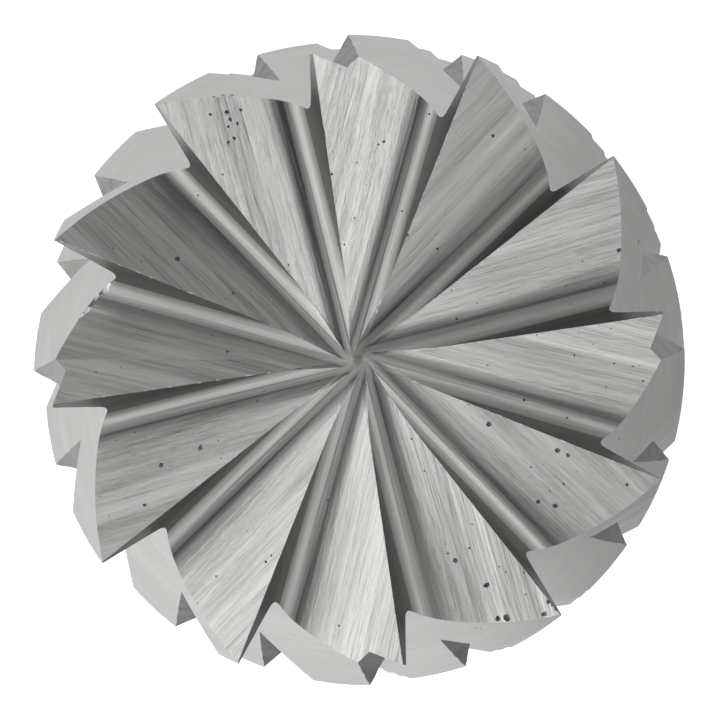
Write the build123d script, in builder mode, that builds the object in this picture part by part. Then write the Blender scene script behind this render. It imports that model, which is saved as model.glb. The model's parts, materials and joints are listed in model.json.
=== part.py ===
"""Carbide burr: a cylindrical rotary file with an end cut, in one piece with its shank.

The burr stands on its shank end. Z runs along the axis towards the cutting end, and the
origin is the centre of the shank's end face. Angles are counted anticlockwise from +X,
seen from the cutting end. All lengths are in millimetres and all angles in degrees.
"""

from build123d import *

import os
from math import cos, degrees, radians, sin, tan

# ---- driving dimensions: the body ----
HEAD_DIAMETER = 8.0  # over the tooth tips
HEAD_LENGTH = 20.0  # the fluted length
SHANK_DIAMETER = 6.0
SHANK_LENGTH = 40.0  # up to the back of the head
SHANK_CHAMFER = 0.4
SHOULDER_LENGTH = 1.0  # bevel at the back of the head, along the axis
SHOULDER_DEPTH = 0.9  # the same bevel, across the axis

# ---- driving dimensions: the main flutes, right-hand ----
TOOTH_COUNT = 12
TOOTH_HELIX_ANGLE = 20.0
TOOTH_START_ANGLE = 9.3  # where one tooth tip meets the cutting end
FLUTE_DEPTH = 0.9
FLUTE_FLOOR_CUT = 0.12  # what the flat floor takes off each side of the corner
RAKE_LEAN = 3.3  # how far the foot of a cutting face leads its tip
BACK_BULGE = 0.09  # rise of a tooth's back over a straight chord

# ---- driving dimensions: the chip-breaker flutes, left-hand ----
BREAKER_COUNT = 8
BREAKER_HELIX_ANGLE = 25.0
BREAKER_START_ANGLE = 37.2  # where one stop wall meets the cutting end
BREAKER_DEPTH = 0.42
BREAKER_WALL_SPAN = 8.0  # angle taken by the steep wall
BREAKER_RAMP_SPAN = 13.6  # angle taken by the gentle side

# ---- driving dimensions: the end cut ----
GASH_FALL = 11.3  # slope of a gash, from the centre down to the rim
GASH_LEAD = 2.9  # how far the bottom of a gash leads its cutting edge
GASH_FLOOR_RADIUS = 0.25

# ---- derived dimensions ----
HEAD_RADIUS = HEAD_DIAMETER / 2
SHANK_RADIUS = SHANK_DIAMETER / 2
OVERALL_LENGTH = SHANK_LENGTH + HEAD_LENGTH
TOOTH_PITCH = 360 / TOOTH_COUNT
CLEAR = HEAD_RADIUS / 4  # how far a cutter reaches past what it cuts


def polar(radius, angle):
    """A point of a cross-section, from its radius and its angle."""
    return Vector(radius * cos(radians(angle)), radius * sin(radians(angle)))


def helix_turn(length, helix_angle):
    """The turn that a helix on the head's outside makes over a length of the axis."""
    return degrees(length * tan(radians(helix_angle)) / HEAD_RADIUS)


def twisted(section, length, turn):
    """A prism on the given cross-section that turns about the axis as it rises."""
    foot = (0, 0, section.center().Z)
    return Solid.extrude_linear_with_rotation(section, foot, (0, 0, length), turn)


# ---- head: one sawtooth cross-section, twisted up the axis ----
head_turn = helix_turn(HEAD_LENGTH, TOOTH_HELIX_ANGLE)
with BuildSketch(Plane.XY.offset(SHANK_LENGTH)) as tooth_section:
    with BuildLine():
        for tooth in range(TOOTH_COUNT):
            tip_angle = TOOTH_START_ANGLE - head_turn + tooth * TOOTH_PITCH
            foot = polar(HEAD_RADIUS - FLUTE_DEPTH, tip_angle + RAKE_LEAN)
            Line(polar(HEAD_RADIUS, tip_angle), foot)
            SagittaArc(foot, polar(HEAD_RADIUS, tip_angle + TOOTH_PITCH), -BACK_BULGE)
    make_face()
    inner_corners = tooth_section.vertices().filter_by(
        lambda corner: abs(Vector(corner.X, corner.Y).length - HEAD_RADIUS) > FLUTE_DEPTH / 2
    )
    chamfer(inner_corners, FLUTE_FLOOR_CUT)
fluted_head = twisted(tooth_section.sketch.face(), HEAD_LENGTH, head_turn)

# ---- chip breaker: a sawtooth groove that crosses the teeth the other way ----
breaker_length = HEAD_LENGTH + 2 * CLEAR
side_reach = 1 + CLEAR / BREAKER_DEPTH  # both sides carry on at their slope, out of the head
with BuildSketch(Plane.XY.offset(SHANK_LENGTH - CLEAR)) as breaker_section:
    with BuildLine():
        wall_angle = helix_turn(HEAD_LENGTH + CLEAR, BREAKER_HELIX_ANGLE)
        floor_angle = wall_angle + BREAKER_WALL_SPAN
        floor = polar(HEAD_RADIUS - BREAKER_DEPTH, floor_angle)
        wall = polar(HEAD_RADIUS, wall_angle) - floor
        ramp = polar(HEAD_RADIUS, floor_angle + BREAKER_RAMP_SPAN) - floor
        Polyline(floor + wall * side_reach, floor, floor + ramp * side_reach, close=True)
    make_face()
breaker_turn = -helix_turn(breaker_length, BREAKER_HELIX_ANGLE)
breaker = twisted(breaker_section.sketch.face(), breaker_length, breaker_turn)

# ---- end gash: a V with a round floor that falls from the centre to the rim ----
# It runs out along X here. Its steep side holds one cutting edge and its gentle side the
# next. The edges are level and meet at the centre, which sets the slope of both sides.
gash_run = Vector(cos(radians(GASH_FALL)), 0, -sin(radians(GASH_FALL)))
gash_section_plane = Plane((0, 0, OVERALL_LENGTH), x_dir=(0, 1, 0), z_dir=gash_run)


def edge_in_section(lead):
    """The direction of a level edge in the gash's section, for an angle behind the gash."""
    return Vector(-sin(radians(lead)), sin(radians(GASH_FALL)) * cos(radians(lead)))


steep = edge_in_section(GASH_LEAD)
gentle = edge_in_section(GASH_LEAD - TOOTH_PITCH)
half_opening = steep.get_angle(gentle) / 2
floor_rise = GASH_FLOOR_RADIUS * (1 / sin(radians(half_opening)) - 1)
gash_reach = HEAD_RADIUS + CLEAR
gash_height = gash_reach * tan(radians(GASH_FALL)) + CLEAR
with BuildPart() as gash:
    with BuildSketch(gash_section_plane) as gash_section:
        with BuildLine():
            corner = Vector(0, -floor_rise)  # the round floor then passes through the centre
            steep_top = corner + steep * (gash_height / steep.Y)
            gentle_top = corner + gentle * (gash_height / gentle.Y)
            Polyline(steep_top, corner, gentle_top, close=True)
        make_face()
        fillet(gash_section.vertices().sort_by(Axis.Y)[0], GASH_FLOOR_RADIUS)
    extrude(amount=gash_reach / cos(radians(GASH_FALL)))

# ---- the burr: head, shank, and all the cuts ----
with BuildPart() as burr:
    add(fluted_head)
    with PolarLocations(0, BREAKER_COUNT, start_angle=BREAKER_START_ANGLE):
        add(breaker, mode=Mode.SUBTRACT)
    with BuildSketch(Plane.XZ):  # the bevel at the back of the head
        with BuildLine():
            Polyline(
                (HEAD_RADIUS - SHOULDER_DEPTH, SHANK_LENGTH),
                (HEAD_RADIUS, SHANK_LENGTH + SHOULDER_LENGTH),
                (HEAD_RADIUS + CLEAR, SHANK_LENGTH + SHOULDER_LENGTH),
                (HEAD_RADIUS + CLEAR, SHANK_LENGTH - CLEAR),
                (HEAD_RADIUS - SHOULDER_DEPTH, SHANK_LENGTH - CLEAR),
                close=True,
            )
        make_face()
    revolve(axis=Axis.Z, mode=Mode.SUBTRACT)
    with PolarLocations(0, TOOTH_COUNT, start_angle=TOOTH_START_ANGLE + GASH_LEAD):
        add(gash.part, mode=Mode.SUBTRACT)
    with BuildSketch(Plane.XY):
        Circle(SHANK_RADIUS)
    extrude(amount=SHANK_LENGTH)
    chamfer(burr.edges().group_by(Axis.Z)[0], SHANK_CHAMFER)

burr.part.label = "burr"
os.makedirs("parts", exist_ok=True)
export_step(burr.part, "parts/burr.step")
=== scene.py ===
"""Dresses the carbide burr: a ground head with its end cut, grinding lines, pits and chips."""

import json
import random
from math import atan, cos, hypot, pi, radians, sin, tan

import bmesh
import bpy
from mathutils import Matrix, Vector


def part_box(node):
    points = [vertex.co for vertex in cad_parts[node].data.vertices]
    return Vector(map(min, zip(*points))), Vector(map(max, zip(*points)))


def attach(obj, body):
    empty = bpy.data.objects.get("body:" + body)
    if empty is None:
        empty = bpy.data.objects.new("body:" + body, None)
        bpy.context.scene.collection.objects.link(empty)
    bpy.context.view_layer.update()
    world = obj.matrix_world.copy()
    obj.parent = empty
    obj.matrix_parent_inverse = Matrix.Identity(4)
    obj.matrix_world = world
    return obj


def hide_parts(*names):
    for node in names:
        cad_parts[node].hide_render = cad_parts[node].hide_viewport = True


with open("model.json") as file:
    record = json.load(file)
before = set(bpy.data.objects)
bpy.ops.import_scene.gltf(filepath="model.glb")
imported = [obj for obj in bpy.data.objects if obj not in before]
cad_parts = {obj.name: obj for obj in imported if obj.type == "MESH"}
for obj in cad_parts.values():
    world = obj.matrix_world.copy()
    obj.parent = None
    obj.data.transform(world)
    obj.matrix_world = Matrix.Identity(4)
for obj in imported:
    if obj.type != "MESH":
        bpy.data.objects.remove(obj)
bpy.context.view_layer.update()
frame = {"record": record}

bl_info = {
    "name": "Carbide burr",
    "version": (1, 0, 0),
    "blender": (4, 5, 0),
    "location": "View3D > Sidebar > Burr",
    "description": "Models a ground carbide burr over its frame and lights it from above",
    "category": "Object",
}

MM = 0.001
BURR_LOW, BURR_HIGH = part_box("burr")
END_HEIGHT = BURR_HIGH.z
SHANK_MOUNT = next(m for m in frame["record"]["mounts"] if m["name"] == "shank")

# The kinds of surface on the burr: each is one material slot of the mesh.
FLUTES, RAMPS, STOP_WALLS = range(3)
END_FACES, END_WALLS, END_FLOORS, END_BLENDS = range(3, 7)
SHANK, BROKEN = range(7, 9)

# Faces that meet at less than this are shaded as one curve.
SMOOTH_ANGLE = radians(25)
TURNED_SEGMENTS = 180


def linear(hex_colour):
    """An sRGB hex colour as linear RGBA."""
    channels = [int(hex_colour[i : i + 2], 16) / 255 for i in (1, 3, 5)]
    rgb = [c / 12.92 if c <= 0.04045 else ((c + 0.055) / 1.055) ** 2.4 for c in channels]
    return rgb + [1.0]


def length(name, description, millimetres):
    """A length that is kept in metres."""
    return bpy.props.FloatProperty(
        name=name,
        description=description,
        default=millimetres * MM,
        min=0.0,
        precision=5,
        unit="LENGTH",
    )


def angle(name, description, degrees):
    """An angle that is kept in radians."""
    return bpy.props.FloatProperty(
        name=name, description=description, default=radians(degrees), subtype="ANGLE"
    )


def colour(name, description, hex_colour):
    """A colour that is kept as linear RGB."""
    return bpy.props.FloatVectorProperty(
        name=name,
        description=description,
        default=linear(hex_colour)[:3],
        size=3,
        min=0.0,
        max=1.0,
        subtype="COLOR",
    )


class BurrSizes(bpy.types.PropertyGroup):
    """The burr's sizes: those of its frame, with wider walls in the end gashes."""

    head_length: length("Head length", "Fluted length", 20.0)
    flute_depth: length("Flute depth", "From the tips to the foot of the teeth", 0.9)
    floor_cut: length("Floor cut", "What the round floor takes off each side", 0.12)
    back_bulge: length("Back bulge", "Rise of a tooth's back over a straight chord", 0.09)
    breaker_depth: length("Breaker depth", "Depth of a chip-breaker flute", 0.42)
    gash_floor: length("Gash floor", "Radius of the floor of an end gash", 0.25)
    gash_blend: length("Gash blend", "Radius between that floor and the gentle side", 0.42)
    corner_wear: length("Corner wear", "How far the tips at the cutting end are worn", 0.07)
    shank_chamfer: length("Shank chamfer", "Chamfer of the shank's end", 0.4)
    shoulder_length: length("Shoulder length", "Bevel behind the head, along the axis", 1.0)
    shoulder_depth: length("Shoulder depth", "The same bevel, across the axis", 0.9)
    tooth_count: bpy.props.IntProperty(name="Teeth", description="Main teeth", default=12)
    breaker_count: bpy.props.IntProperty(
        name="Chip breakers", description="Chip-breaker flutes", default=8
    )
    tooth_helix: angle("Tooth helix", "Right-hand helix angle of the teeth", 20.0)
    tooth_start: angle("Tooth start", "Where one tip meets the cutting end", 9.3)
    rake_lean: angle("Rake lean", "How far the foot of a tooth leads its tip", 3.3)
    breaker_helix: angle("Breaker helix", "Left-hand helix angle of the chip breakers", 25.0)
    breaker_start: angle("Breaker start", "Where one stop wall meets the cutting end", 37.2)
    breaker_wall: angle("Breaker wall", "Angle taken by the steep wall", 8.0)
    breaker_ramp: angle("Breaker ramp", "Angle taken by the gentle side", 13.6)
    gash_fall: angle("Gash fall", "Slope of a gash towards the rim", 11.3)
    edge_lag: angle("Edge lag", "How far an end edge lies behind its tooth's tip", 1.0)
    gash_lead: angle("Gash lead", "How far a gash's bottom leads its edge", 5.8)
    blend_start: angle("Blend start", "Slope at which the blend takes over from the floor", 2.0)
    line_slant: angle("Line slant", "How far the lines of a gash turn from its bottom", 2.1)


class BurrLook(bpy.types.PropertyGroup):
    """Colours and grinding marks of the carbide."""

    carbide: colour("Carbide", "Ground tungsten carbide", "#C6C6C4")
    line_depth: length("Line depth", "Depth of a grinding line", 0.008)
    nick_spacing: length("Nick spacing", "Distance between nicks in an end edge", 0.045)
    nick_size: length("Nick size", "Depth of a middling nick in an end edge", 0.016)


class StageLook(bpy.types.PropertyGroup):
    """Floor, card, room and camera."""

    floor: colour("Floor", "Matt white board", "#FFFFFF")
    card: colour("Card", "Matt grey card, a painted floor shadow seen in the metal", "#C0C0C0")
    lift: bpy.props.FloatProperty(
        name="Lift", description="Glow that lifts the board to white for the eye", default=0.6
    )
    metal_lift: bpy.props.FloatProperty(
        name="Lift in metal", description="The same glow as metal shows it", default=0.1
    )
    room: bpy.props.FloatProperty(name="Room", description="Light of the room", default=0.9)
    ceiling: bpy.props.FloatProperty(
        name="Ceiling", description="Light of the dark ceiling", default=0.03
    )
    distance: length("Distance", "From the camera to the cutting end", 320.0)
    view_width: length("View width", "Width of the picture at the cutting end", 8.802)
    lean_x: bpy.props.FloatProperty(
        name="Lean X", description="Slope of the view towards +X", default=0.0122, precision=4
    )
    lean_y: bpy.props.FloatProperty(
        name="Lean Y", description="Slope of the view towards +Y", default=-0.0031, precision=4
    )
    aim_x: length("Aim X", "Where the picture is centred, beside the axis", 0.027)
    aim_y: length("Aim Y", "Where the picture is centred, above the axis", -0.006)


def deselect():
    """Leaves edit mode with nothing selected."""
    if bpy.context.object and bpy.context.object.mode != "OBJECT":
        bpy.ops.object.mode_set(mode="OBJECT")
    bpy.ops.object.select_all(action="DESELECT")


def prism(name, section, steps, rise, turn, kinds):
    """A closed prism on a section in the XY plane, extruded in equal steps that may turn.

    The kinds of surface are given side by side with the section's points: each is that of
    the side from its point to the next.
    """
    deselect()
    bpy.ops.mesh.primitive_circle_add(vertices=len(section), radius=MM, fill_type="NGON")
    piece = bpy.context.object
    piece.name = name
    bpy.ops.object.mode_set(mode="EDIT")
    corners = bmesh.from_edit_mesh(piece.data).verts
    for number, (x, y) in enumerate(section):
        bpy.ops.mesh.select_all(action="DESELECT")
        corners.ensure_lookup_table()
        corners[number].select = True
        shift = Vector((x, y, 0)) - corners[number].co
        bpy.ops.transform.translate(value=shift)
    bpy.ops.mesh.select_all(action="SELECT")
    for _ in range(steps):
        bpy.ops.mesh.extrude_region_move(TRANSFORM_OT_translate={"value": (0, 0, rise / steps)})
        if turn:
            bpy.ops.transform.rotate(
                value=-turn / steps, orient_axis="Z", center_override=(0, 0, 0)
            )
    close_mesh(piece, kinds[0])
    for face in piece.data.polygons:
        side = sorted({corner % len(section) for corner in face.vertices})
        if len(side) == 2:
            wraps = side[1] - side[0] > 1
            face.material_index = kinds[side[1] if wraps else side[0]]
    return piece


def close_mesh(piece, kind):
    """Ends edit mode with outward faces, all of one kind of surface."""
    bpy.ops.object.mode_set(mode="EDIT")
    bpy.ops.mesh.select_all(action="SELECT")
    bpy.ops.mesh.normals_make_consistent(inside=False)
    bpy.ops.object.mode_set(mode="OBJECT")
    for _ in FINISHES:
        piece.data.materials.append(None)
    for face in piece.data.polygons:
        face.material_index = kind


def lathe(name, rings, kind):
    """A turned solid through rings of (radius, height)."""
    deselect()
    radius, height = rings[0]
    bpy.ops.mesh.primitive_circle_add(
        vertices=TURNED_SEGMENTS, radius=radius, fill_type="NGON", location=(0, 0, height)
    )
    bpy.ops.object.transform_apply(location=True)
    piece = bpy.context.object
    piece.name = name
    bpy.ops.object.mode_set(mode="EDIT")
    bpy.ops.mesh.select_all(action="SELECT")
    for next_radius, next_height in rings[1:]:
        bpy.ops.mesh.extrude_region_move(
            TRANSFORM_OT_translate={"value": (0, 0, next_height - height)}
        )
        scale = next_radius / radius
        bpy.ops.transform.resize(value=(scale, scale, 1), center_override=(0, 0, next_height))
        radius, height = next_radius, next_height
    close_mesh(piece, kind)
    return piece


def combine(piece, tool, operation):
    """Cuts, adds or keeps what a tool shares with a piece, and removes the tool."""
    cut = piece.modifiers.new(operation, "BOOLEAN")
    cut.operation = operation
    cut.solver = "MANIFOLD"
    cut.object = tool
    select_only(piece)
    bpy.ops.object.modifier_apply(modifier=cut.name)
    bpy.data.objects.remove(tool)


def copied(piece, move):
    """A copy with its own mesh, moved by a matrix."""
    select_only(piece)
    bpy.ops.object.duplicate()
    copy = bpy.context.object
    copy.data.transform(move)
    return copy


def select_only(piece):
    """Makes a piece the only one selected, and the active one."""
    deselect()
    bpy.context.view_layer.objects.active = piece
    piece.select_set(True)


def shade(piece):
    """Smooth where it is curved, and flat on the plane sides of the gashes and on breaks."""
    select_only(piece)
    bpy.ops.object.shade_smooth_by_angle(angle=SMOOTH_ANGLE)
    bpy.ops.object.mode_set(mode="EDIT")
    bpy.ops.mesh.select_mode(type="FACE")
    bpy.ops.mesh.select_all(action="DESELECT")
    for slot in (END_FACES, END_WALLS, BROKEN):
        piece.active_material_index = slot
        bpy.ops.object.material_slot_select()
    bpy.ops.mesh.faces_shade_flat()
    bpy.ops.mesh.select_mode(type="VERT")
    bpy.ops.object.mode_set(mode="OBJECT")


def polar(radius, turn):
    """The point at a radius and an azimuth."""
    return Vector((radius * cos(turn), radius * sin(turn)))


def gash_sides(sizes):
    """How far a gash's wall leans from upright and how steeply its gentle side climbs."""
    pitch = 2 * pi / sizes.tooth_count
    lean = atan(tan(sizes.gash_lead) / sin(sizes.gash_fall))
    return lean, atan(sin(sizes.gash_fall) / tan(pitch - sizes.gash_lead))


def gash_drop(sizes):
    """How far a gash's sides would meet below its round floor."""
    lean, slope = gash_sides(sizes)
    half_opening = (lean + pi / 2 - slope) / 2
    return sizes.gash_floor * (1 / sin(half_opening) - 1)


def gash_run(sizes):
    """The direction in which the bottom of the first end gash runs."""
    return sizes.tooth_start - sizes.edge_lag + sizes.gash_lead


class BURR_OT_burr(bpy.types.Operator):
    """Model the burr: fluted head, chip breakers, end gashes and shank"""

    bl_idname = "burr.burr"
    bl_label = "Burr"

    # Steps along the head, then over the parts of a tooth's and of a gash's section.
    HEAD_STEPS = 60
    RAKE_STEPS, FLOOR_STEPS, BACK_STEPS = 3, 5, 10
    GASH_STEPS, BLEND_STEPS = 7, 6
    # The slivers where the gashes meet lie this near the axis and this near the end.
    CENTRE, CENTRE_DEPTH = 0.06 * MM, 0.1 * MM

    def execute(self, context):
        self.sizes = context.scene.burr_sizes
        self.radius = BURR_HIGH.x
        self.shank_radius = SHANK_MOUNT["dims"]["r_mm"] * MM
        self.back = END_HEIGHT - self.sizes.head_length
        # How far a cutter reaches past what it cuts.
        self.clear = self.radius / 4
        head = self.fluted_head()
        self.cut_round(head, *self.breaker(), self.sizes.breaker_count)
        combine(head, self.blank(), "INTERSECT")
        self.cut_round(head, *self.gash(), self.sizes.tooth_count)
        self.settle_centre(head)
        combine(head, self.shank(), "UNION")
        head.name = "ground_burr"
        shade(head)
        look = context.scene.burr_look
        for slot in FINISHES:
            head.data.materials[slot] = carbide_material(look, self.sizes, slot)
        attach(head, "root")
        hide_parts("burr")
        return {"FINISHED"}

    def cut_round(self, head, cutter, seat, start, count):
        """Cuts the head with equally spaced copies of one cutter, then removes the cutter.

        The seat is where the cutter goes at azimuth 0, and the start is the first azimuth.
        """
        for k in range(count):
            turn = Matrix.Rotation(start + k * 2 * pi / count, 4, "Z")
            combine(head, copied(cutter, turn @ seat), "DIFFERENCE")
        bpy.data.objects.remove(cutter)

    def helix_turn(self, height, helix):
        """How far a helix on the head turns over a height."""
        return height * tan(helix) / self.radius

    def fluted_head(self):
        """The sawtooth section, with round floors, twisted up the axis."""
        s = self.sizes
        turn = self.helix_turn(s.head_length, s.tooth_helix)
        pitch = 2 * pi / s.tooth_count
        section = []
        for tooth in range(s.tooth_count):
            at = s.tooth_start - turn + tooth * pitch
            tip = polar(self.radius, at)
            foot = polar(self.radius - s.flute_depth, at + s.rake_lean)
            next_tip = polar(self.radius, at + pitch)
            section += self.tooth_outline(tip, foot, next_tip)
        kinds = [FLUTES] * len(section)
        head = prism("head", section, self.HEAD_STEPS, s.head_length, turn, kinds)
        head.data.transform(Matrix.Translation((0, 0, self.back)))
        return head

    def tooth_outline(self, tip, foot, next_tip):
        """One tooth space: cutting face, round floor and bulging back, up to the next tip."""
        s = self.sizes
        rake = foot - tip
        rake_end = foot - rake.normalized() * s.floor_cut
        points = [tip.lerp(rake_end, i / self.RAKE_STEPS) for i in range(self.RAKE_STEPS)]
        back = next_tip - foot
        # A parabola that rises by the bulge has four times the bulge as its factor.
        bulge = Vector((back.y, -back.x)).normalized() * s.back_bulge * 4

        def on_back(share):
            return foot + back * share + bulge * share * (1 - share)

        start = s.floor_cut / back.length
        back_start = on_back(start)
        for i in range(self.FLOOR_STEPS):
            t = i / self.FLOOR_STEPS
            points.append(rake_end.lerp(foot, t).lerp(foot.lerp(back_start, t), t))
        for i in range(self.BACK_STEPS):
            points.append(on_back(start + (1 - start) * i / self.BACK_STEPS))
        return points

    def breaker(self):
        """The cutter of the chip-breaker flutes, which turn the other way.

        It comes with its seat and the azimuth at which the first one starts.
        """
        s = self.sizes
        rise = s.head_length + 2 * self.clear
        reach = 1 + self.clear / s.breaker_depth
        at = s.breaker_start + self.helix_turn(s.head_length + self.clear, s.breaker_helix)
        floor = polar(self.radius - s.breaker_depth, s.breaker_wall)
        wall = polar(self.radius, 0) - floor
        ramp = polar(self.radius, s.breaker_wall + s.breaker_ramp) - floor
        section = [floor + wall * reach, floor, floor + ramp * reach]
        turn = -self.helix_turn(rise, s.breaker_helix)
        kinds = (STOP_WALLS, RAMPS, RAMPS)
        cutter = prism("breaker", section, self.HEAD_STEPS, rise, turn, kinds)
        return cutter, Matrix.Translation((0, 0, self.back - self.clear)), at

    def blank(self):
        """The turned outside of the head, with a bevel at the back and a worn corner in front.

        The corner wears by a third over its first half and by the rest over its second.
        """
        s = self.sizes
        rings = [
            (self.radius - s.shoulder_depth, self.back),
            (self.radius, self.back + s.shoulder_length),
            (self.radius, END_HEIGHT - 2 * s.corner_wear),
            (self.radius - s.corner_wear / 3, END_HEIGHT - s.corner_wear),
            (self.radius - s.corner_wear, END_HEIGHT),
        ]
        return lathe("blank", rings, FLUTES)

    def gash(self):
        """The cutter of the end gashes: a V with a round floor, from the centre to the rim.

        Its section is made from the wall over the floor and the blend to the gentle side.
        It comes with its seat and the azimuth of the first gash.
        """
        s = self.sizes
        fall = s.gash_fall
        lean, slope = gash_sides(s)
        drop = gash_drop(s)
        reach = self.radius + self.clear
        height = reach * tan(fall) + self.clear
        bisector = (lean + pi / 2 - slope) / 2 - lean
        far = s.gash_floor + drop
        centre = Vector((far * sin(bisector), far * cos(bisector) - drop))
        first = lean - pi / 2
        arcs = []
        for i in range(self.GASH_STEPS + 1):
            turn = first + (s.blend_start - first) * i / self.GASH_STEPS
            arcs.append((s.gash_floor, turn))
        for i in range(1, self.BLEND_STEPS + 1):
            turn = s.blend_start + (slope - s.blend_start) * i / self.BLEND_STEPS
            arcs.append((s.gash_blend, turn))
        section = []
        for radius, turn in arcs:
            shift = radius - s.gash_floor
            on_arc = centre + shift * Vector((-sin(s.blend_start), cos(s.blend_start)))
            section.append(on_arc + radius * Vector((sin(turn), -cos(turn))))
        low, high = section[0], section[-1]
        rise = height - low.y
        section.insert(0, Vector((low.x - rise * tan(lean), height)))
        section.append(Vector((high.x + (height - high.y) / tan(slope), height)))
        floor, blend = [END_FLOORS] * self.GASH_STEPS, [END_BLENDS] * self.BLEND_STEPS
        kinds = [END_WALLS] + floor + blend + [END_FACES] * 2
        cutter = prism("gash", section, 1, reach / cos(fall), 0.0, kinds)
        across = Vector((0, 1, 0))
        run = Vector((cos(fall), 0, -sin(fall)))
        up = run.cross(across)
        place = Matrix((across, up, run)).transposed().to_4x4()
        return cutter, Matrix.Translation((0, 0, END_HEIGHT)) @ place, gash_run(s)

    def settle_centre(self, head):
        """Merges the slivers where all the gashes meet into one point."""
        select_only(head)
        bpy.ops.object.mode_set(mode="EDIT")
        bpy.ops.mesh.select_all(action="DESELECT")
        for corner in bmesh.from_edit_mesh(head.data).verts:
            beside, below = hypot(corner.co.x, corner.co.y), END_HEIGHT - corner.co.z
            corner.select = beside < self.CENTRE and below < self.CENTRE_DEPTH
        bpy.ops.mesh.merge(type="CENTER")
        bpy.ops.object.mode_set(mode="OBJECT")

    def shank(self):
        """The plain shank, with its chamfer, up into the head."""
        s = self.sizes
        rings = [
            (self.shank_radius - s.shank_chamfer, BURR_LOW.z),
            (self.shank_radius, BURR_LOW.z + s.shank_chamfer),
            (self.shank_radius, self.back + self.clear / 2),
        ]
        return lathe("shank", rings, SHANK)


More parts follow.
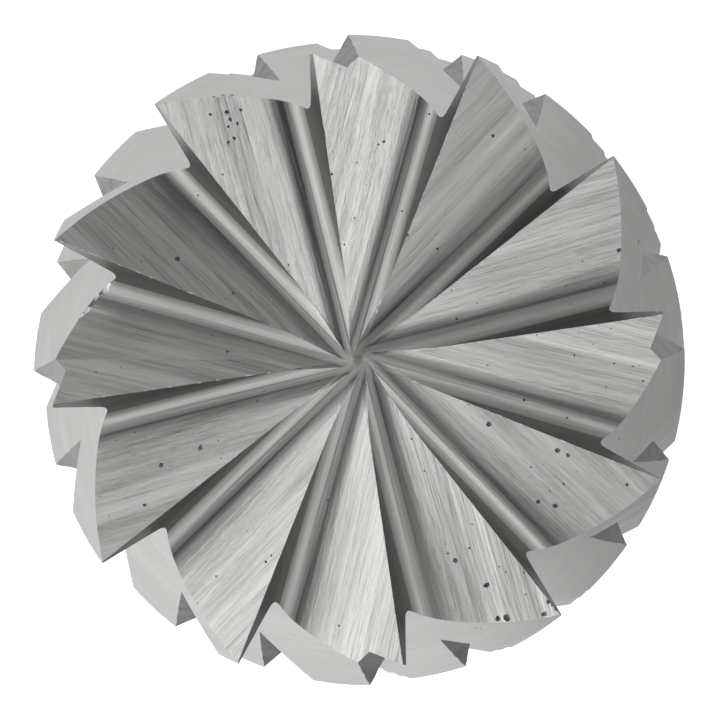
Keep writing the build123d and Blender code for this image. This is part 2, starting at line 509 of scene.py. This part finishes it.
class BURR_OT_wear(bpy.types.Operator):
    """Cut the pits, the broken corner and the nicked cutting edges into the burr"""

    bl_idname = "burr.wear"
    bl_label = "Wear"

    # The larger pits of the cutting end, given one by one: x, y and radius in mm.
    PITS = (
        (-1.61, 3.03, 0.035),
        (-1.57, 2.94, 0.03),
        (-1.59, 2.85, 0.022),
        (-1.52, 2.71, 0.03),
        (-1.59, 2.66, 0.022),
        (-1.81, 3.00, 0.022),
        (-1.44, 3.06, 0.022),
        (-1.48, 2.89, 0.022),
        (-1.77, 3.22, 0.03),
        (-1.66, 3.24, 0.035),
        (-1.55, 3.24, 0.035),
        (-2.21, 1.23, 0.045),
        (1.60, -0.79, 0.035),
        (2.44, -1.11, 0.035),
        (2.57, -1.17, 0.025),
        (2.20, -1.74, 0.03),
        (2.41, -1.79, 0.035),
        (2.85, -2.17, 0.03),
        (3.29, -1.53, 0.025),
        (1.19, -2.46, 0.03),
        (3.19, -0.97, 0.025),
        (3.43, 1.45, 0.03),
        (3.19, 1.34, 0.025),
        (-2.86, 2.18, 0.03),
        (-1.93, -1.08, 0.03),
        (-2.41, -1.29, 0.035),
        (-2.61, -1.78, 0.03),
        (-1.53, 0.81, 0.03),
        (1.65, 2.74, 0.03),
        (1.57, -2.76, 0.04),
        (1.62, -2.83, 0.035),
        (2.32, -2.85, 0.025),
        (2.38, -2.93, 0.025),
        (2.28, -3.11, 0.035),
        (3.00, -2.49, 0.035),
        (1.71, -3.17, 0.045),
        (1.82, -3.16, 0.055),
        (1.44, -3.29, 0.025),
        (1.50, -3.30, 0.02),
    )
    # Where the rim is broken: the two ends of a break in mm, how many chips it took, and their
    # radius in mm.
    BREAKS = (
        ((-3.08, 0.98), (-3.13, 0.90), 3, 0.1),
        ((-3.17, 0.84), (-3.36, 0.64), 6, 0.075),
        ((-3.39, 0.60), (-3.42, 0.56), 2, 0.09),
        ((3.80, 0.62), (3.66, 0.60), 4, 0.035),
        ((3.74, 0.22), (3.70, 0.12), 3, 0.035),
        ((2.33, -2.96), (2.42, -3.05), 3, 0.03),
    )
    # A chip of the rim takes its height from this share of its distance to the axis.
    RIM_INSET = 0.97
    # Small pits, strewn at random: how many, how far out, and their least and added radius in mm.
    GRAINS, GRAIN_REACH, GRAIN_LEAST, GRAIN_ADDED = 160, 3.6, 0.004, 0.016
    # How the sizes of chips, the widths of marks and the corners of pebbles vary.
    CHIP_SPREAD, MARK_SPREAD, PEBBLE_SPREAD = (0.7, 1.2), (0.75, 1.3), (0.8, 1.15)
    # Half depth of a mark and how far its middle stands out, as shares of its radius.
    MARK_DEPTH, MARK_RISE = 0.8, 0.15
    # Marks larger than this have finer pebbles, and one deeper than this has missed the end.
    FINE_MARK, DEEPEST = 0.02 * MM, 3 * MM
    # Where the nicks of an edge start and end, as shares of the head's radius, and their sizes:
    # the least, what chance adds, and how rare the large ones are.
    NICK_START, NICK_END = 0.15, 1.01
    NICK_LEAST, NICK_ADDED, NICK_RARITY = 0.25, 1.25, 3
    SEED = 7

    def execute(self, context):
        burr = bpy.data.objects.get("ground_burr")
        if burr is None:
            raise RuntimeError("The burr comes first")
        sizes, look = context.scene.burr_sizes, context.scene.burr_look
        draw = random.Random(self.SEED)
        marks = [self.mark(burr, draw, *pit) for pit in self.PITS]
        for first, last, count, radius in self.BREAKS:
            for i in range(count):
                x, y = Vector(first).lerp(Vector(last), i / (count - 1))
                size = radius * draw.uniform(*self.CHIP_SPREAD)
                marks.append(self.mark(burr, draw, x, y, size, inset=self.RIM_INSET))
        for _ in range(self.GRAINS):
            # The root strews them evenly, and the square makes the small ones common.
            reach = self.GRAIN_REACH * draw.uniform(0.1, 1) ** 0.5
            x, y = polar(reach, draw.uniform(0, 2 * pi))
            size = self.GRAIN_ADDED * draw.uniform(0.4, 1) ** 2 + self.GRAIN_LEAST
            marks.append(self.mark(burr, draw, x, y, size))
        for layer in self.layers([mark for mark in marks if mark]):
            combine(burr, self.pits(layer, draw), "DIFFERENCE")
        edges = [self.nicks(sizes, look, k, draw) for k in range(sizes.tooth_count)]
        combine(burr, self.joined(edges), "DIFFERENCE")
        shade(burr)
        return {"FINISHED"}

    def mark(self, burr, draw, x, y, radius, inset=1.0):
        """A mark's centre, its radii and its turn, where it lies on the burr.

        The height is that of the burr at the inset share of the mark's distance to the axis.
        """
        above = Vector((x * inset * MM, y * inset * MM, END_HEIGHT + MM))
        hit, place, normal, _ = burr.ray_cast(above, Vector((0, 0, -1)))
        if not hit or place.z < END_HEIGHT - self.DEEPEST:
            return None
        place = Vector((x * MM, y * MM, place.z))
        radii = [radius * MM * draw.uniform(*self.MARK_SPREAD) for _ in range(2)]
        radii.append(radius * MM * self.MARK_DEPTH)
        upright = normal.to_track_quat("Z", "Y").to_matrix()
        turn = upright @ Matrix.Rotation(draw.uniform(0, pi), 3, "Z")
        return place + normal * radius * MM * self.MARK_RISE, radii, turn

    def layers(self, marks):
        """Groups of marks in which none touches another, so each group is one clean cutter."""
        groups = []
        for mark in marks:
            for group in groups:
                if all((mark[0] - m[0]).length > max(mark[1]) + max(m[1]) for m in group):
                    group.append(mark)
                    break
            else:
                groups.append([mark])
        return groups

    def pits(self, marks, draw):
        """One cutter of rough pebbles."""
        pebbles = []
        for place, radii, turn in marks:
            deselect()
            fineness = 2 if max(radii) > self.FINE_MARK else 1
            bpy.ops.mesh.primitive_ico_sphere_add(subdivisions=fineness, radius=1.0)
            pebble = bpy.context.object
            for corner in pebble.data.vertices:
                corner.co *= draw.uniform(*self.PEBBLE_SPREAD)
            size = Matrix.Diagonal((*radii, 1.0))
            pebble.data.transform(Matrix.Translation(place) @ turn.to_4x4() @ size)
            pebbles.append(pebble)
        return self.joined(pebbles)

    def joined(self, pieces):
        """All the pieces as one cutter that leaves broken surfaces."""
        deselect()
        bpy.context.view_layer.objects.active = pieces[0]
        for piece in pieces:
            piece.select_set(True)
        if len(pieces) > 1:
            bpy.ops.object.join()
        pieces[0].data.materials.clear()
        close_mesh(pieces[0], BROKEN)
        return pieces[0]

    def nicks(self, sizes, look, k, draw):
        """A thin ragged bar along one end edge: where it is thick, it nicks the edge."""
        start, end = BURR_HIGH.x * self.NICK_START, BURR_HIGH.x * self.NICK_END
        level = END_HEIGHT - gash_drop(sizes) / cos(sizes.gash_fall)
        steps = int((end - start) / look.nick_spacing)
        rise = (end - start) / steps
        deselect()
        bpy.ops.mesh.primitive_circle_add(vertices=4, radius=look.nick_size, fill_type="NGON")
        bar = bpy.context.object
        bpy.ops.object.mode_set(mode="EDIT")
        bpy.ops.mesh.select_all(action="SELECT")
        size = 1.0
        for step in range(1, steps + 1):
            bpy.ops.mesh.extrude_region_move(TRANSFORM_OT_translate={"value": (0, 0, rise)})
            wanted = self.NICK_LEAST + self.NICK_ADDED * draw.random() ** self.NICK_RARITY
            factor = wanted / size
            bpy.ops.transform.resize(
                value=(factor, factor, 1), center_override=(0, 0, step * rise)
            )
            size = wanted
        bpy.ops.object.mode_set(mode="OBJECT")
        tip = sizes.tooth_start - sizes.edge_lag + k * 2 * pi / sizes.tooth_count
        along = Matrix.Rotation(tip, 4, "Z") @ Matrix.Rotation(pi / 2, 4, "Y")
        bar.data.transform(
            Matrix.Translation((0, 0, level)) @ along @ Matrix.Translation((0, 0, start))
        )
        return bar


def add_node(tree, kind, inputs=(), **settings):
    """Adds a node with its settings and gives its outputs.

    Its inputs are values or links, in the order of its sockets or by their names.
    """
    node = tree.nodes.new("ShaderNode" + kind)
    for name, value in settings.items():
        setattr(node, name, value)
    pairs = inputs.items() if isinstance(inputs, dict) else enumerate(inputs)
    for key, value in pairs:
        if isinstance(value, bpy.types.NodeSocket):
            tree.links.new(value, node.inputs[key])
        else:
            node.inputs[key].default_value = value
    return node.outputs


# A finish has lines among bands that are this many times wider, and this is the weight of the
# lines beside the bands.
BAND_WIDTH = 1 / 0.22
LINE_WEIGHT = 0.6
# What the noise of lines with bands, and that of bands alone, really ranges over.
LINE_RANGE, BAND_RANGE = (0.6, 1.0), (0.3, 0.7)
# The carbide's pores are about 0.045 mm apart, and show faintly in the relief.
PORES_PER_MM = 22.0
PORE_WEIGHT = 0.12
# How far apart the patterns of two neighbouring gashes lie in the noise, so that none repeats.
GASH_STEP = 7.3


def carbide_material(look, sizes, kind):
    """Sintered tungsten carbide as one grinding operation left it."""
    finish = FINISHES[kind]
    material = bpy.data.materials.new(finish["name"])
    material.use_nodes = True
    tree = material.node_tree
    shader = tree.nodes["Principled BSDF"]
    shader.inputs["Metallic"].default_value = 1.0
    place = add_node(tree, "TexCoord")["Object"]
    place = add_node(tree, "VectorMath", {0: place, "Scale": 1 / MM}, operation="SCALE")[0]
    lines = finish["lines"](tree, place, sizes, *finish["marks"])
    noise = {"Vector": lines, "Scale": 1.0, "Detail": 4.0, "Roughness": 0.65}
    fine = add_node(tree, "TexNoise", noise)["Fac"]
    noise = {"Vector": lines, "Scale": 1 / BAND_WIDTH, "Detail": 2.0, "Roughness": 0.5}
    broad = add_node(tree, "TexNoise", noise)["Fac"]
    level = add_node(tree, "Math", (fine, LINE_WEIGHT, broad), operation="MULTIPLY_ADD")[0]
    light, dark = finish["tone"]
    tone = add_node(tree, "MapRange", (level, *LINE_RANGE, dark, light))[0]
    shaded = {0: look.carbide, "Scale": tone}
    shaded = add_node(tree, "VectorMath", shaded, operation="SCALE")[0]
    tree.links.new(shaded, shader.inputs["Base Color"])
    gloss = add_node(tree, "MapRange", (broad, *BAND_RANGE, *finish["roughness"]))[0]
    tree.links.new(gloss, shader.inputs["Roughness"])
    noise = {"Vector": place, "Scale": PORES_PER_MM, "Detail": 2.0}
    pores = add_node(tree, "TexNoise", noise)["Fac"]
    relief = add_node(tree, "Math", (pores, PORE_WEIGHT, fine), operation="MULTIPLY_ADD")[0]
    depth = look.line_depth * finish["depth"]
    bump = {"Height": relief, "Distance": depth, "Strength": 1.0}
    tree.links.new(add_node(tree, "Bump", bump)[0], shader.inputs["Normal"])
    return material


def gash_lines(tree, place, sizes, spacing, run):
    """Lines along each end gash: the wheel ran from the centre to the rim."""
    x, y, _ = add_node(tree, "SeparateXYZ", (place,))
    pitch = 2 * pi / sizes.tooth_count
    azimuth = add_node(tree, "Math", (y, x), operation="ARCTAN2")[0]
    start = sizes.tooth_start - sizes.edge_lag
    azimuth = add_node(tree, "Math", (azimuth, start), operation="SUBTRACT")[0]
    turns = add_node(tree, "Math", (azimuth, pitch), operation="DIVIDE")[0]
    gash = add_node(tree, "Math", (turns,), operation="FLOOR")[0]
    back = (gash, -pitch, -gash_run(sizes) - sizes.line_slant)
    back = add_node(tree, "Math", back, operation="MULTIPLY_ADD")[0]
    turned = {"Vector": place, "Angle": back}
    turned = add_node(tree, "VectorRotate", turned, rotation_type="Z_AXIS")[0]
    apart = add_node(tree, "Math", (gash, GASH_STEP), operation="MULTIPLY")[0]
    apart = add_node(tree, "CombineXYZ", {"Z": apart})[0]
    scaled = (turned, (1 / run, 1 / spacing, 0), apart)
    return add_node(tree, "VectorMath", scaled, operation="MULTIPLY_ADD")[0]


def helical_lines(tree, place, helix, spacing, run):
    """Lines along a flute of this helix angle."""
    x, y, z = add_node(tree, "SeparateXYZ", (place,))
    radius = BURR_HIGH.x / MM
    azimuth = add_node(tree, "Math", (y, x), operation="ARCTAN2")[0]
    unwound = (z, -tan(helix) / radius, azimuth)
    unwound = add_node(tree, "Math", unwound, operation="MULTIPLY_ADD")[0]
    folded = add_node(tree, "Math", (unwound, pi), operation="PINGPONG")[0]
    half = add_node(tree, "Math", (y,), operation="SIGN")[0]
    spot = add_node(tree, "CombineXYZ", (folded, z, half))[0]
    scaled = (spot, (radius / spacing, 1 / run, GASH_STEP))
    return add_node(tree, "VectorMath", scaled, operation="MULTIPLY")[0]


def flute_lines(tree, place, sizes, *marks):
    """Lines along the teeth."""
    return helical_lines(tree, place, sizes.tooth_helix, *marks)


def breaker_lines(tree, place, sizes, *marks):
    """Lines along the chip breakers."""
    return helical_lines(tree, place, -sizes.breaker_helix, *marks)


def round_lines(tree, place, sizes, spacing, run):
    """Lines around the axis, from grinding between wheels."""
    scaled = (place, (1 / run, 1 / run, 1 / spacing))
    return add_node(tree, "VectorMath", scaled, operation="MULTIPLY")[0]


def grain(tree, place, sizes, spacing, run):
    """The grain of a fracture, the same in every direction."""
    scaled = {0: place, "Scale": 1 / spacing}
    return add_node(tree, "VectorMath", scaled, operation="SCALE")[0]


# How each kind of surface was made, and what that gives the eye. Marks are the spacing and the
# length of its lines in mm. The tone is that of its light and dark lines against the carbide's
# colour, and the depth is that of its lines against the look's line depth.
FINISHES = {
    # A fine wheel: even, with a soft gloss along the helix.
    FLUTES: {
        "name": "tungsten carbide, flute-ground",
        "lines": flute_lines,
        "marks": (0.07, 2.0),
        "tone": (1.0, 0.8),
        "roughness": (0.3, 0.4),
        "depth": 0.3,
    },
    # The same wheel across the flutes, so the lines cross those of the teeth.
    RAMPS: {
        "name": "tungsten carbide, chip-breaker ground",
        "lines": breaker_lines,
        "marks": (0.07, 2.0),
        "tone": (1.0, 0.8),
        "roughness": (0.3, 0.4),
        "depth": 0.3,
    },
    # The side of that wheel: duller than its rim, and darker by painted shade.
    STOP_WALLS: {
        "name": "tungsten carbide, dull stop wall, painted shade",
        "lines": breaker_lines,
        "marks": (0.07, 2.0),
        "tone": (0.6, 0.4),
        "roughness": (0.4, 0.5),
        "depth": 0.3,
    },
    # A coarse wheel: strong light and dark lines from the centre outwards.
    END_FACES: {
        "name": "tungsten carbide, coarse gash-ground",
        "lines": gash_lines,
        "marks": (0.0625, 1.25),
        "tone": (1.06, 0.58),
        "roughness": (0.3, 0.4),
        "depth": 1.3,
    },
    # The side of the wheel: its darker tone is painted shade, a dark line beside each bright
    # face.
    END_WALLS: {
        "name": "tungsten carbide, gash wall, painted shade",
        "lines": gash_lines,
        "marks": (0.0625, 1.25),
        "tone": (0.55, 0.35),
        "roughness": (0.3, 0.4),
        "depth": 0.4,
    },
    # The wheel's round edge: a satin stripe that catches light along its whole length.
    END_FLOORS: {
        "name": "tungsten carbide, round gash floor",
        "lines": gash_lines,
        "marks": (0.0625, 1.25),
        "tone": (0.97, 0.77),
        "roughness": (0.42, 0.5),
        "depth": 0.5,
    },
    # Where the round edge runs out into the face: strong dark lines beside the stripe, and a
    # darker tone that is painted shade.
    END_BLENDS: {
        "name": "tungsten carbide, gash run-out",
        "lines": gash_lines,
        "marks": (0.0625, 1.25),
        "tone": (0.92, 0.48),
        "roughness": (0.35, 0.45),
        "depth": 0.8,
    },
    # Ground between two wheels: rings round the axis and an even sheen. The real lines are too
    # fine to show, so these are drawn coarser.
    SHANK: {
        "name": "tungsten carbide, centreless ground",
        "lines": round_lines,
        "marks": (0.033, 2.0),
        "tone": (1.0, 0.9),
        "roughness": (0.25, 0.35),
        "depth": 0.15,
    },
    # A fracture: grainy and without lines, and darkened by painted shade in the pits and chips.
    BROKEN: {
        "name": "tungsten carbide, broken, painted shade",
        "lines": grain,
        "marks": (0.05, 0.05),
        "tone": (0.55, 0.28),
        "roughness": (0.55, 0.75),
        "depth": 2.0,
    },
}


def matt_material(name, colour):
    """Matt board: without gloss, so it shows as an even tone."""
    material = bpy.data.materials.new(name)
    material.use_nodes = True
    shader = material.node_tree.nodes["Principled BSDF"]
    shader.inputs["Base Color"].default_value = (*colour, 1)
    shader.inputs["Roughness"].default_value = 0.9
    return material


def white_board(look):
    """The floor: seen by eye or in metal it is lifted to white, and it keeps its shadow."""
    material = matt_material("matt white board", look.floor)
    tree = material.node_tree
    rays = add_node(tree, "LightPath")
    mirrored = (rays["Is Glossy Ray"], rays["Is Transmission Ray"])
    mirrored = add_node(tree, "Math", mirrored, operation="MAXIMUM")[0]
    mirrored = add_node(tree, "Math", (mirrored, look.metal_lift), operation="MULTIPLY")[0]
    lift = (rays["Is Camera Ray"], look.lift, mirrored)
    lift = add_node(tree, "Math", lift, operation="MULTIPLY_ADD")[0]
    shader = tree.nodes["Principled BSDF"]
    shader.inputs["Emission Color"].default_value = (*look.floor, 1)
    tree.links.new(lift, shader.inputs["Emission Strength"])
    return material


# The room's light in the middle, and how it changes from there to the side at +X.
ROOM_MIDDLE, ROOM_CHANGE = 0.6, -0.3
# The angles from the zenith at which the ceiling begins and at which it is dark.
CEILING_EDGE, CEILING_DARK = radians(50), radians(34)


def studio_world(look):
    """A pale room around a dark ceiling, which draws the dark lines in the gashes."""
    world = bpy.data.worlds.new("pale room, dark ceiling")
    world.use_nodes = True
    tree = world.node_tree
    way = add_node(tree, "TexCoord")["Generated"]
    sideways, _, height = add_node(tree, "SeparateXYZ", (way,))
    side = (sideways, ROOM_CHANGE, ROOM_MIDDLE)
    side = add_node(tree, "Math", side, operation="MULTIPLY_ADD")[0]
    ceiling = (height, cos(CEILING_EDGE), cos(CEILING_DARK), look.room, look.ceiling)
    ceiling = add_node(tree, "MapRange", ceiling, interpolation_type="SMOOTHSTEP")[0]
    strength = add_node(tree, "Math", (side, ceiling), operation="MULTIPLY")[0]
    background = tree.nodes["Background"]
    background.inputs["Color"].default_value = (1, 1, 1, 1)
    tree.links.new(strength, background.inputs["Strength"])
    return world


class BURR_OT_stage(bpy.types.Operator):
    """Set the floor, the lamps and the camera above the cutting end"""

    bl_idname = "burr.stage"
    bl_label = "Stage"

    # Softboxes: name, height of the point that each aims at, azimuth and angle from the zenith
    # in degrees as seen from there, distance and sizes in metres, and radiance.
    LAMPS = (
        ("right strip", END_HEIGHT, 20, 50, 0.6, (0.40, 0.24), 2.35),
        ("left window", END_HEIGHT, 176, 56, 0.6, (0.95, 0.46), 0.94),
        ("front fill", END_HEIGHT, 292, 56, 0.6, (0.95, 0.46), 0.86),
        ("low left lamp", BURR_LOW.z, 205, 60, 0.12, (0.06, 0.04), 4.0),
    )

    # The grey card beside the burr, a painted shadow of the floor that only the metal sees: its
    # azimuth in degrees, then metres.
    CARD_AZIMUTH, CARD_DISTANCE, CARD_SIZE, CARD_LIFT = -28, 0.088, 0.14, 0.001
    FLOOR_SIZE = 2.0
    # How many times nearer and farther than the burr the camera still sees.
    CLIP = 10

    def execute(self, context):
        look = context.scene.burr_stage
        deselect()
        bpy.ops.mesh.primitive_plane_add(size=self.FLOOR_SIZE, location=(0, 0, BURR_LOW.z))
        floor = context.object
        floor.name = "floor"
        floor.data.materials.append(white_board(look))
        self.card(look)
        context.scene.world = studio_world(look)
        target = Vector((0, 0, END_HEIGHT))
        for lamp in self.LAMPS:
            self.softbox(*lamp)
        self.camera(context, look, target)
        context.scene.view_settings.view_transform = "Standard"
        return {"FINISHED"}

    def card(self, look):
        """A grey card beside the burr, seen only in the metal: a painted floor shadow that
        darkens the flanks there.
        """
        deselect()
        turn = radians(self.CARD_AZIMUTH)
        bpy.ops.mesh.primitive_plane_add(
            size=self.CARD_SIZE,
            location=(*polar(self.CARD_DISTANCE, turn), BURR_LOW.z + self.CARD_LIFT),
            rotation=(0, 0, turn),
        )
        card = bpy.context.object
        card.name = "floor_shadow_card"
        bpy.ops.object.transform_apply(location=True, rotation=True, scale=True)
        card.data.materials.append(matt_material("matt grey card, painted floor shadow", look.card))
        card.visible_camera = card.visible_shadow = card.visible_diffuse = False

    def softbox(self, name, height, azimuth, from_zenith, distance, size, radiance):
        """An area lamp of a given radiance, aimed at the burr's axis."""
        deselect()
        turn, tilt = radians(azimuth), radians(from_zenith)
        towards = Vector((sin(tilt) * cos(turn), sin(tilt) * sin(turn), cos(tilt)))
        place = Vector((0, 0, height)) + towards * distance
        bpy.ops.object.light_add(type="AREA", location=place)
        lamp = bpy.context.object
        lamp.name = name
        lamp.rotation_euler = towards.to_track_quat("Z", "Y").to_euler()
        lamp.data.shape = "RECTANGLE"
        lamp.data.size, lamp.data.size_y = size
        lamp.data.energy = radiance * pi * size[0] * size[1]

    def camera(self, context, look, target):
        """The camera looks down on the cutting end, with Y upwards in the picture."""
        deselect()
        towards = Vector((look.lean_x, look.lean_y, 1.0)).normalized()
        aim = target + Vector((look.aim_x, look.aim_y, 0.0))
        bpy.ops.object.camera_add(location=aim + towards * look.distance)
        camera = context.object
        right = Vector((0, 1, 0)).cross(towards).normalized()
        axes = Matrix((right, towards.cross(right), towards)).transposed()
        camera.rotation_euler = axes.to_euler()
        camera.data.angle = look.view_width / look.distance
        camera.data.clip_start = look.distance / self.CLIP
        camera.data.clip_end = look.distance * self.CLIP
        context.scene.camera = camera


class BURR_PT_panel(bpy.types.Panel):
    """Lists the burr's operators"""

    bl_label = "Carbide burr"
    bl_idname = "BURR_PT_panel"
    bl_space_type = "VIEW_3D"
    bl_region_type = "UI"
    bl_category = "Burr"

    def draw(self, context):
        column = self.layout.column()
        column.operator("burr.burr")
        column.operator("burr.wear")
        column.operator("burr.stage")


CLASSES = (
    BurrSizes,
    BurrLook,
    StageLook,
    BURR_OT_burr,
    BURR_OT_wear,
    BURR_OT_stage,
    BURR_PT_panel,
)


def register():
    """Registers the classes and keeps their settings on the scene."""
    for cls in CLASSES:
        bpy.utils.register_class(cls)
    bpy.types.Scene.burr_sizes = bpy.props.PointerProperty(type=BurrSizes)
    bpy.types.Scene.burr_look = bpy.props.PointerProperty(type=BurrLook)
    bpy.types.Scene.burr_stage = bpy.props.PointerProperty(type=StageLook)


def unregister():
    """Takes the settings and the classes away again."""
    del bpy.types.Scene.burr_stage
    del bpy.types.Scene.burr_look
    del bpy.types.Scene.burr_sizes
    for cls in reversed(CLASSES):
        bpy.utils.unregister_class(cls)


def main():
    """Makes everything in order."""
    register()
    bpy.ops.burr.burr()
    bpy.ops.burr.wear()
    bpy.ops.burr.stage()


if __name__ == "__main__":
    main()
